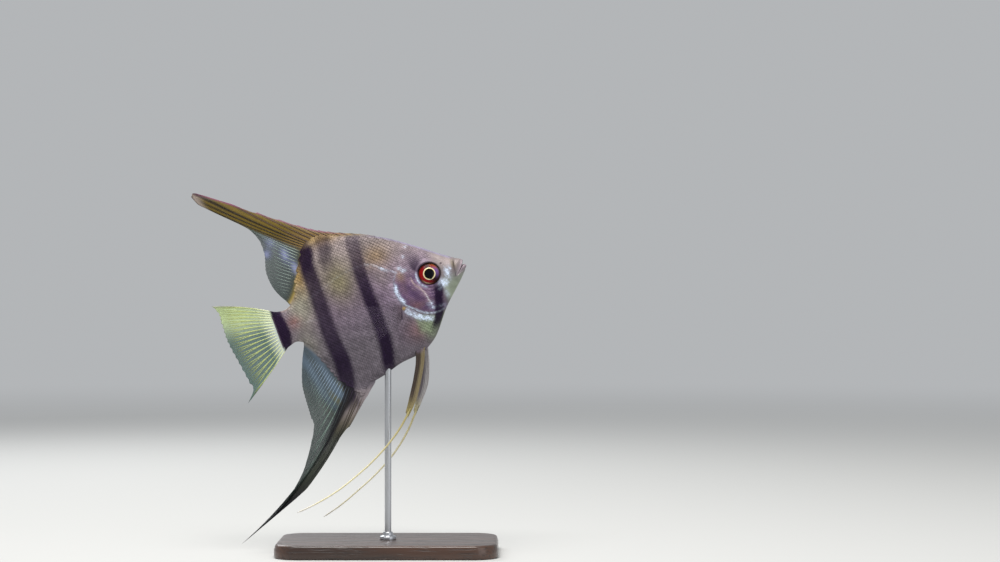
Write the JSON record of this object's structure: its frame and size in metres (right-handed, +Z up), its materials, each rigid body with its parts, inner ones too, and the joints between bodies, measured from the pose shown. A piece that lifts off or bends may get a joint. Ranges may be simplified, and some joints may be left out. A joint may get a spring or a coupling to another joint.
{
  "type": "freshwater angelfish model on a stand",
  "caption": "Life-size still model of a silver freshwater angelfish, a tall thin fish with long trailing fins, held nose-up over a flat base by a rod.",
  "frame": {"origin": "centre of the stand base's underside, below the rod", "axes": "+X along the base's length, the way the fish faces; +Y to the fish's left; +Z up"},
  "size_m": [0.1118, 0.046, 0.1307],
  "materials": {
    "skin": "satin, silvery, finely scaled",
    "fin": "satin rays in a thin clear web",
    "clear_fin": "nearly clear web, satin rays",
    "eye": "wet gloss",
    "base_wood": "dark stain under satin lacquer",
    "rod_steel": "fine brushed"
  },
  "bodies": {
    "root": {"head": "skin", "upper_lip": "skin", "lower_jaw": "skin", "trunk": "skin", "tail_stalk": "skin", "gill_cover_right": "skin", "gill_cover_left": "skin", "eye_right": "eye", "eye_left": "eye", "dorsal_fin": "fin", "anal_fin": "fin", "tail_fin": "fin", "pelvic_fin_right": "fin", "pelvic_fin_left": "fin", "pelvic_filament_right": "fin", "pelvic_filament_left": "fin", "pectoral_fin_right": "clear_fin", "pectoral_fin_left": "clear_fin", "stand_base": "base_wood", "stand_rod": "rod_steel", "stand_ferrule": "rod_steel"}
  },
  "joints": []
}
